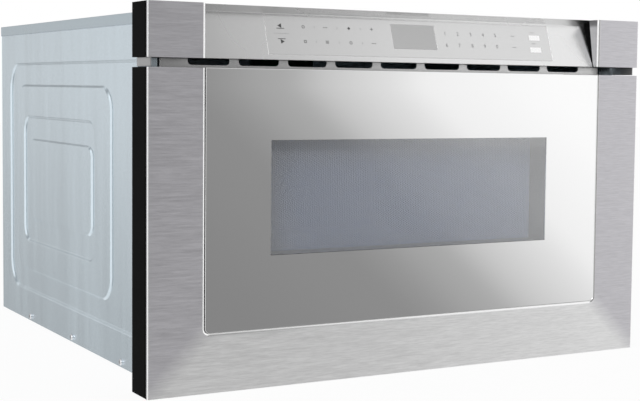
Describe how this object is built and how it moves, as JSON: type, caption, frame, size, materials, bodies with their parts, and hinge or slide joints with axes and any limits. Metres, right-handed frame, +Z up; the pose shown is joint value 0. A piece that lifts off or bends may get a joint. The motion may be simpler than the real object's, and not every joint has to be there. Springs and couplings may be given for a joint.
{
  "type": "microwave drawer",
  "caption": "Built-in microwave drawer: a steel and glass drawer front slides out of a galvanised case under a fixed slanted touch panel between two steel end blocks.",
  "frame": {"origin": "middle of the footprint, on the surface that the feet stand on", "axes": "+X to the right seen from the front, +Y from the front to the back, +Z up; the drawer slides towards -Y"},
  "size_m": [0.606, 0.6, 0.385],
  "materials": {
    "brushed_front": "brushed stainless steel, horizontal grain",
    "galvanised": "zinc-coated sheet steel",
    "black_plastic": "black moulding",
    "mirror_glass": "mirror-coated toughened glass with a clear window",
    "clear_glass": "clear toughened glass",
    "panel_steel": "satin steel strip",
    "touch_glass": "gloss touch surface",
    "display": "smoked display window",
    "screen": "perforated screening plate",
    "grey_enamel": "grey enamelled steel",
    "rail_steel": "bright zinc-plated rolled steel",
    "white_nylon": "natural nylon",
    "board": "circuit board",
    "cast_alloy": "pressed aluminium",
    "core_iron": "varnished laminations",
    "motor_case": "plated motor can",
    "feet_rubber": "rubber",
    "ceramic": "white glass ceramic",
    "mica": "mica sheet",
    "screw_steel": "bright zinc-plated screws"
  },
  "bodies": {
    "case": {"base_plate": "galvanised", "case_side_left": "galvanised", "case_side_right": "galvanised", "case_top_cover": "galvanised", "rear_panel": "galvanised", "base_feet": "feet_rubber", "front_frame": "galvanised", "vent_strip": "galvanised", "end_block_left": "brushed_front", "end_block_right": "brushed_front", "end_trim_left": "black_plastic", "end_trim_right": "black_plastic", "end_bracket_left": "galvanised", "end_bracket_right": "galvanised", "control_panel": "panel_steel", "control_housing": "black_plastic", "touch_glass": "touch_glass", "display_window": "display", "control_board": "board", "oven_cavity": "grey_enamel", "antenna_cover": "mica", "waveguide": "galvanised", "magnetron": "cast_alloy", "power_transformer": "core_iron", "high_voltage_capacitor": "motor_case", "line_filter_board": "board", "fan_housing": "black_plastic", "fan_motor": "motor_case", "air_duct": "black_plastic", "antenna_motor": "motor_case", "oven_lamp": "white_nylon", "rail_outer_left": "rail_steel", "rail_outer_right": "rail_steel", "rail_brackets": "galvanised", "drive_motor": "motor_case", "drive_bracket": "galvanised", "interlock_switches": "black_plastic", "thermal_cutout": "white_nylon", "case_screws": "screw_steel", "power_inlet": "black_plastic"},
    "drawer": {"door_frame": "brushed_front", "door_glass": "mirror_glass", "door_casing": "black_plastic", "window_tunnel": "grey_enamel", "window_screen": "screen", "inner_window": "clear_glass", "choke_frame": "grey_enamel", "drawer_bin": "grey_enamel", "glass_tray": "ceramic", "rail_inner_left": "rail_steel", "rail_inner_right": "rail_steel", "door_arms": "galvanised", "drive_rack": "white_nylon", "latch_tongues": "rail_steel"},
    "left_rail": {"rail_middle_left": "rail_steel"},
    "right_rail": {"rail_middle_right": "rail_steel"},
    "pinion": {"pinion_shaft": "white_nylon"},
    "motor_wheel": {"motor_gear": "white_nylon"},
    "fan": {"fan_blade": "black_plastic"},
    "stirrer": {"antenna": "cast_alloy"}
  },
  "joints": [
    {"name": "drawer_slide", "type": "slide", "parent": "case", "child": "drawer", "axis": [0, -1, 0], "range_m": [0, 0.38]},
    {"name": "left_rail_slide", "type": "slide", "parent": "case", "child": "left_rail", "axis": [0, -1, 0], "range_m": [0, 0.19]},
    {"name": "right_rail_slide", "type": "slide", "parent": "case", "child": "right_rail", "axis": [0, -1, 0], "range_m": [0, 0.19]},
    {"name": "pinion_spin", "type": "hinge", "parent": "case", "child": "pinion", "pos_m": [0.12, -0.226, 0.027], "axis": [1, 0, 0], "range_deg": [0, 1613]},
    {"name": "motor_gear_spin", "type": "hinge", "parent": "case", "child": "motor_wheel", "pos_m": [0.15, -0.205, 0.027], "axis": [1, 0, 0], "range_deg": [-4032, 0]},
    {"name": "fan_spin", "type": "hinge", "parent": "case", "child": "fan", "pos_m": [-0.131, 0.23985, 0.122], "axis": [1, 0, 0], "continuous": true},
    {"name": "antenna_spin", "type": "hinge", "parent": "case", "child": "stirrer", "pos_m": [0, -0.0386, 0.085], "axis": [0, 0, 1], "continuous": true}
  ],
  "couplings": [
    {"joint": "left_rail_slide", "follows": "drawer_slide", "ratio": 0.5},
    {"joint": "right_rail_slide", "follows": "drawer_slide", "ratio": 0.5},
    {"joint": "pinion_spin", "follows": "drawer_slide", "rad_per_m": 74.074},
    {"joint": "motor_gear_spin", "follows": "drawer_slide", "rad_per_m": -185.19}
  ]
}
